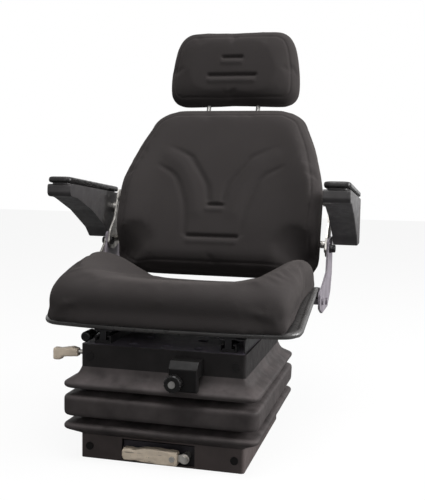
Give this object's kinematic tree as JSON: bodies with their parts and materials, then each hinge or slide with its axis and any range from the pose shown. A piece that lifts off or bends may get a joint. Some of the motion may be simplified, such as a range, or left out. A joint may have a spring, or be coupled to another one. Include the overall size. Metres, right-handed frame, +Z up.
{
  "type": "tractor seat",
  "caption": "Driver's seat with bolstered cushion, reclining backrest, headrest and folding armrests on a scissor suspension inside a folded rubber bellows.",
  "frame": {"origin": "centre of the four floor bolts, on the underside of the base tray", "axes": "+X to the right in a front view, +Y to the rear of the seat, +Z up; the seat faces -Y"},
  "size_m": [0.604, 0.6411, 0.8421],
  "materials": {
    "tray_steel": "grey paint, satin",
    "black_plastic": "black, satin",
    "bellows_rubber": "black, slightly shiny",
    "clip_plastic": "black",
    "zinc_steel": "zinc plated",
    "bump_rubber": "black",
    "spring_steel": "black coating",
    "ivory_plastic": "ivory, scuffed",
    "arm_steel": "black paint",
    "shaft_steel": "bright steel",
    "roller_plastic": "white nylon",
    "damper_paint": "black paint",
    "housing_plastic": "black",
    "knob_plastic": "black",
    "pan_paint": "black powder coat",
    "seat_fabric": "charcoal fabric over foam",
    "side_arm_paint": "grey paint",
    "shell_plastic": "black, grained",
    "armrest_plastic": "black, satin",
    "armrest_skin": "black, soft"
  },
  "bodies": {
    "base": {"base_tray": "tray_steel", "lower_band": "black_plastic", "bellows": "bellows_rubber", "lower_band_clips": "clip_plastic", "lower_roller_channels": "zinc_steel", "bump_stops": "bump_rubber", "coil_springs": "spring_steel", "preload_pivot_bolt": "zinc_steel"},
    "preload_lever": {"preload_lever": "zinc_steel", "preload_grip": "ivory_plastic", "preload_grip_screw": "zinc_steel"},
    "outer_arms": {"outer_arm_right": "arm_steel", "outer_arm_left": "arm_steel", "lower_pivot_shaft": "shaft_steel", "upper_roller_shaft": "shaft_steel", "damper_rear_pin": "shaft_steel"},
    "inner_arms": {"inner_arm_right": "arm_steel", "inner_arm_left": "arm_steel", "centre_shaft": "shaft_steel", "upper_pivot_shaft": "shaft_steel", "lower_roller_shaft": "shaft_steel", "damper_front_pin": "shaft_steel"},
    "lower_rollers": {"lower_rollers": "roller_plastic"},
    "upper_rollers": {"upper_rollers": "roller_plastic"},
    "damper_tube": {"damper_tube": "damper_paint"},
    "damper_rod": {"damper_rod": "shaft_steel"},
    "top_frame": {"top_tray": "tray_steel", "upper_band": "black_plastic", "upper_band_clips": "clip_plastic", "upper_roller_channels": "zinc_steel", "adjuster_housing": "housing_plastic", "lower_rails": "arm_steel"},
    "adjuster": {"adjuster_knob": "knob_plastic", "adjuster_spindle": "shaft_steel"},
    "height_lever": {"height_lever_rod": "zinc_steel", "height_lever_grip": "ivory_plastic"},
    "carriage": {"upper_rails": "arm_steel", "slide_lock_plate": "arm_steel", "seat_pan": "pan_paint", "seat_cushion": "seat_fabric", "side_arm_right": "side_arm_paint", "side_arm_left": "side_arm_paint", "recline_bolts": "arm_steel"},
    "slide_lever": {"slide_lever": "arm_steel", "slide_lever_grip": "knob_plastic"},
    "recline_lever": {"recline_lever": "zinc_steel"},
    "backrest": {"backrest_shell": "shell_plastic", "backrest_pad": "seat_fabric", "backrest_bracket_right": "zinc_steel", "backrest_bracket_left": "zinc_steel", "headrest_guides": "knob_plastic"},
    "headrest": {"headrest_pad": "seat_fabric", "headrest_posts": "shaft_steel"},
    "armrest_right": {"armrest_body_right": "armrest_plastic", "armrest_cover_right": "armrest_plastic", "armrest_pad_right": "armrest_skin"},
    "armrest_left": {"armrest_body_left": "armrest_plastic", "armrest_cover_left": "armrest_plastic", "armrest_pad_left": "armrest_skin"}
  },
  "joints": [
    {"name": "suspension", "type": "hinge", "parent": "base", "child": "outer_arms", "pos_m": [0, 0.135, 0.0178], "axis": [1, 0, 0], "range_deg": [0, 19.62], "stiffness_Nm_per_rad": 600, "springref_deg": -6.88, "deforming": ["bellows", "coil_springs"]},
    {"name": "arm_cross", "type": "hinge", "parent": "outer_arms", "child": "inner_arms", "pos_m": [0, 0.03069, 0.1035], "axis": [1, 0, 0], "range_deg": [-39.25, 0]},
    {"name": "frame_pivot", "type": "hinge", "parent": "inner_arms", "child": "top_frame", "pos_m": [0, 0.135, 0.1892], "axis": [1, 0, 0], "range_deg": [0, 19.63]},
    {"name": "damper_tube_pivot", "type": "hinge", "parent": "outer_arms", "child": "damper_tube", "pos_m": [0, 0.11568, 0.03367], "axis": [1, 0, 0], "range_deg": [-19.63, 0]},
    {"name": "damper_rod_pivot", "type": "hinge", "parent": "inner_arms", "child": "damper_rod", "pos_m": [0, -0.0543, 0.03367], "axis": [1, 0, 0], "range_deg": [0, 19.63]},
    {"name": "lower_roller_spin", "type": "hinge", "parent": "inner_arms", "child": "lower_rollers", "pos_m": [0, -0.07362, 0.0178], "axis": [1, 0, 0], "continuous": true},
    {"name": "upper_roller_spin", "type": "hinge", "parent": "outer_arms", "child": "upper_rollers", "pos_m": [0, -0.07362, 0.1892], "axis": [1, 0, 0], "continuous": true},
    {"name": "preload_pump", "type": "hinge", "parent": "base", "child": "preload_lever", "pos_m": [0.047, -0.175, 0.02], "axis": [0, 1, 0], "range_deg": [0, 6]},
    {"name": "adjuster_turn", "type": "hinge", "parent": "top_frame", "child": "adjuster", "pos_m": [0.037, -0.208, 0.162], "axis": [0, 1, 0], "continuous": true},
    {"name": "height_lift", "type": "hinge", "parent": "top_frame", "child": "height_lever", "pos_m": [-0.118, -0.14606, 0.188], "axis": [0, 1, 0], "range_deg": [0, 8]},
    {"name": "seat_slide", "type": "slide", "parent": "top_frame", "child": "carriage", "axis": [0, 1, 0], "range_m": [-0.075, 0.075]},
    {"name": "slide_release", "type": "hinge", "parent": "carriage", "child": "slide_lever", "pos_m": [-0.142, -0.03, 0.218], "axis": [0, 0, -1], "range_deg": [0, 6], "stiffness_Nm_per_rad": 1, "springref_deg": -5.73},
    {"name": "recline", "type": "hinge", "parent": "carriage", "child": "backrest", "pos_m": [0, 0.204, 0.36], "axis": [1, 0, 0], "range_deg": [-15, 20]},
    {"name": "recline_release", "type": "hinge", "parent": "carriage", "child": "recline_lever", "pos_m": [-0.2463, 0.204, 0.36], "axis": [-1, 0, 0], "range_deg": [0, 12], "stiffness_Nm_per_rad": 1, "springref_deg": -11.46},
    {"name": "headrest_height", "type": "slide", "parent": "backrest", "child": "headrest", "axis": [0, 0.342, 0.9397], "range_m": [0, 0.06]},
    {"name": "armrest_right_fold", "type": "hinge", "parent": "backrest", "child": "armrest_right", "pos_m": [0.251, 0.252, 0.432], "axis": [-1, 0, 0], "range_deg": [0, 90]},
    {"name": "armrest_left_fold", "type": "hinge", "parent": "backrest", "child": "armrest_left", "pos_m": [-0.251, 0.252, 0.432], "axis": [-1, 0, 0], "range_deg": [0, 90]}
  ],
  "couplings": [
    {"joint": "arm_cross", "follows": "suspension", "ratio": -2},
    {"joint": "frame_pivot", "follows": "suspension", "ratio": 1},
    {"joint": "damper_tube_pivot", "follows": "suspension", "ratio": -1},
    {"joint": "damper_rod_pivot", "follows": "suspension", "ratio": 1}
  ]
}
